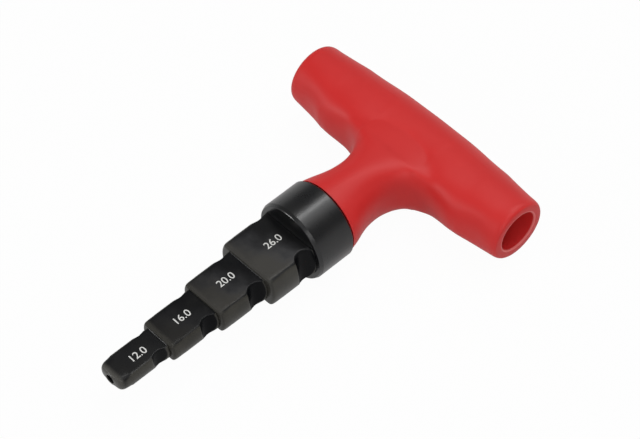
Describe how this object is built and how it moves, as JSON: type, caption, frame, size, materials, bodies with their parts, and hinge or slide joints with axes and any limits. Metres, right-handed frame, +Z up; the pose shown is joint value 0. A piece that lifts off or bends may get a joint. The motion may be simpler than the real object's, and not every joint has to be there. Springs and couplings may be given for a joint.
{
  "type": "pipe calibrator",
  "caption": "Pipe calibrator: a blackened steel mandrel stepped to the bores of four plastic and composite pipes, with a stop collar, on a hollow red T-grip.",
  "frame": {"origin": "middle of the bore through the grip bar, on its axis", "axes": "+X along the grip bar, -Y along the tool towards the tip, +Z up from the flats that carry the sizes"},
  "size_m": [0.1, 0.1521, 0.03],
  "materials": {
    "blackened_steel": "black oxide, satin",
    "bright_steel": "turned",
    "spring_steel": "plain",
    "brass_bush": "turned",
    "red_grip": "moulded satin"
  },
  "bodies": {
    "root": {"step_12": "blackened_steel", "step_16": "blackened_steel", "step_20": "blackened_steel", "step_26": "blackened_steel", "stop_collar": "blackened_steel", "arbor": "bright_steel", "lock_screw": "blackened_steel", "thrust_washer": "blackened_steel", "disc_spring": "spring_steel", "moulded_bush": "brass_bush", "cross_pin": "spring_steel", "retaining_ring": "spring_steel", "grip": "red_grip"}
  },
  "joints": []
}
